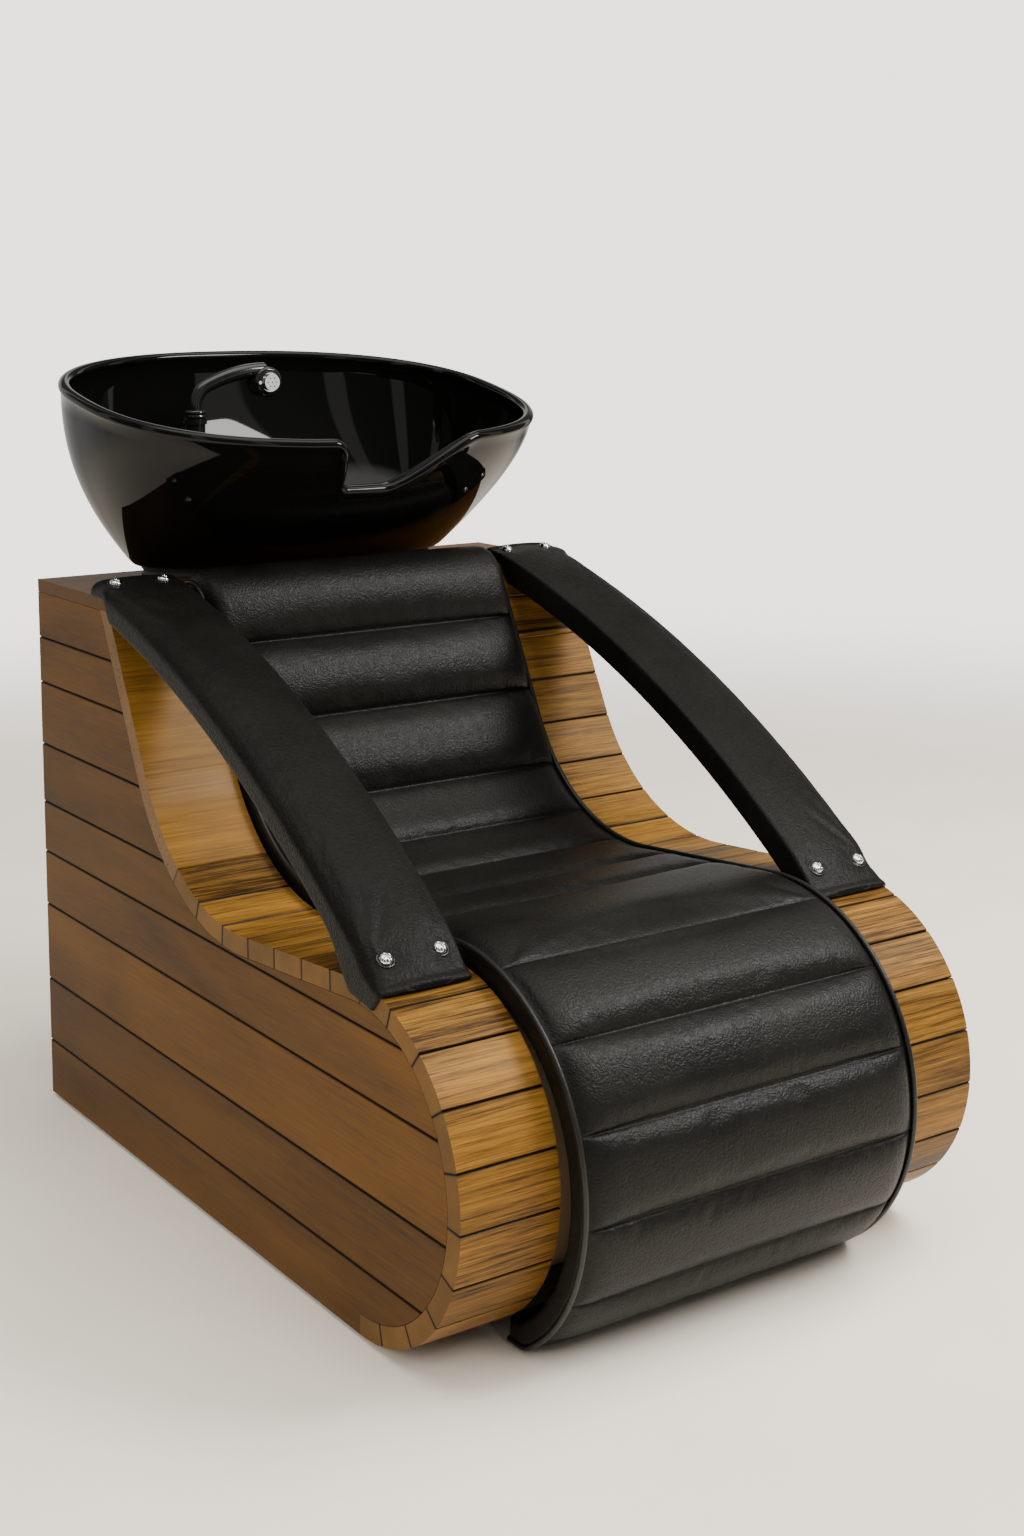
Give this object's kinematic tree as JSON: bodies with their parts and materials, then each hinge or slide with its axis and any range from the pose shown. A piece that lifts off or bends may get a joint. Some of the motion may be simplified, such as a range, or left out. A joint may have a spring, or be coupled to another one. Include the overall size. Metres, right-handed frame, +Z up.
{
  "type": "shampoo backwash unit",
  "caption": "Salon lounge backwash: wooden two-pod body, channelled black leather cushion, arched padded arms and a tilting black ceramic bowl with neck rest, hand shower and waste.",
  "frame": {"origin": "centre of the four floor anchor holes, on the floor", "axes": "+Z up, the sitter faces -Y, +X to the right of a person looking at the front (left hand of the sitter)"},
  "size_m": [0.734, 1.2515, 1.0413],
  "materials": {
    "side_planks": "oiled walnut-toned planks, satin",
    "staves": "oiled teak-toned staves, satin",
    "liner": "bent board with a silky oiled face",
    "deck": "oiled walnut-toned board, satin",
    "plywood": "raw birch plywood",
    "seat_leather": "black pebbled upholstery leather, soft sheen",
    "arm_leather": "black pebbled upholstery leather, soft sheen",
    "bowl_glaze": "black high-gloss glaze",
    "steel": "zinc-plated, brushed",
    "chrome": "polished",
    "brass": "raw brass",
    "black_plastic": "fine satin",
    "gloss_black": "black gloss",
    "rubber": "matte black",
    "braid": "braided sleeve",
    "hot_grip": "satin red",
    "cold_grip": "satin blue"
  },
  "bodies": {
    "body": {"left_side_planks": "side_planks", "right_side_planks": "side_planks", "left_outer_panel": "plywood", "right_outer_panel": "plywood", "left_inner_panel": "plywood", "right_inner_panel": "plywood", "left_bent_liner": "liner", "left_staves": "staves", "right_staves": "staves", "deck_board": "deck", "back_panel": "deck", "door_hinge_leaves": "steel", "door_hinge_pins": "steel", "magnet_catch": "black_plastic", "cross_rails": "plywood", "fixing_blocks": "plywood", "foot_blocks": "plywood", "levelling_feet": "rubber", "anchor_brackets": "steel", "seat_shell": "plywood", "cushion": "seat_leather", "left_arm_pad": "arm_leather", "right_arm_pad": "arm_leather", "left_arm_bar": "steel", "right_arm_bar": "steel", "arm_screws": "chrome", "tilt_skirt": "rubber", "tilt_base": "steel", "pivot_bolts": "steel", "pivot_nuts": "steel", "friction_washers": "rubber", "waste_hose": "rubber", "bottle_trap": "black_plastic", "waste_outlet": "black_plastic", "mixer_body": "chrome", "hot_stop_valve": "brass", "cold_stop_valve": "brass", "hot_hose": "braid", "cold_hose": "braid", "shower_hose": "braid"},
    "bowl": {"bowl": "bowl_glaze", "bowl_gasket": "rubber", "tilt_yoke": "steel", "drain_body": "chrome", "drain_nut": "brass", "shower_dock": "gloss_black"},
    "strainer": {"hair_strainer": "chrome"},
    "hand_shower": {"hand_shower": "gloss_black", "spray_nozzle": "chrome"},
    "spray_button": {"spray_button": "chrome"},
    "service_door": {"service_door": "deck", "door_hinge_plates": "steel", "door_knob": "chrome"},
    "mixer_cap": {"mixer_cap": "chrome"},
    "mixer_lever": {"mixer_lever": "chrome"},
    "hot_handle": {"hot_valve_handle": "hot_grip"},
    "cold_handle": {"cold_valve_handle": "cold_grip"}
  },
  "joints": [
    {"name": "bowl_tilt", "type": "hinge", "parent": "body", "child": "bowl", "pos_m": [0, 0.462, 0.718], "axis": [1, 0, 0], "range_deg": [-8, 4], "deforming": ["waste_hose", "shower_hose", "tilt_skirt"]},
    {"name": "strainer_lift", "type": "slide", "parent": "bowl", "child": "strainer", "axis": [0, 0, 1], "range_m": [0, 0.06]},
    {"name": "hand_shower_lift", "type": "slide", "parent": "bowl", "child": "hand_shower", "axis": [0, 0, 1], "range_m": [0, 0.12]},
    {"name": "spray_button_press", "type": "slide", "parent": "hand_shower", "child": "spray_button", "axis": [0, 1, 0], "range_m": [0, 0.003], "stiffness_N_per_m": 300},
    {"name": "door_hinge", "type": "hinge", "parent": "body", "child": "service_door", "pos_m": [-0.159, 0.531, 0.315], "axis": [0, 0, 1], "range_deg": [0, 110]},
    {"name": "mixer_turn", "type": "hinge", "parent": "body", "child": "mixer_cap", "pos_m": [-0.111, 0.572, 0.61], "axis": [0, 1, 0], "range_deg": [-45, 45]},
    {"name": "mixer_lift", "type": "hinge", "parent": "mixer_cap", "child": "mixer_lever", "pos_m": [-0.111, 0.576, 0.61], "axis": [1, 0, 0], "range_deg": [0, 25]},
    {"name": "hot_valve_turn", "type": "hinge", "parent": "body", "child": "hot_handle", "pos_m": [-0.139, 0.45, 0.15], "axis": [0, 1, 0], "range_deg": [0, 90]},
    {"name": "cold_valve_turn", "type": "hinge", "parent": "body", "child": "cold_handle", "pos_m": [-0.083, 0.45, 0.15], "axis": [0, 1, 0], "range_deg": [0, 90]}
  ]
}
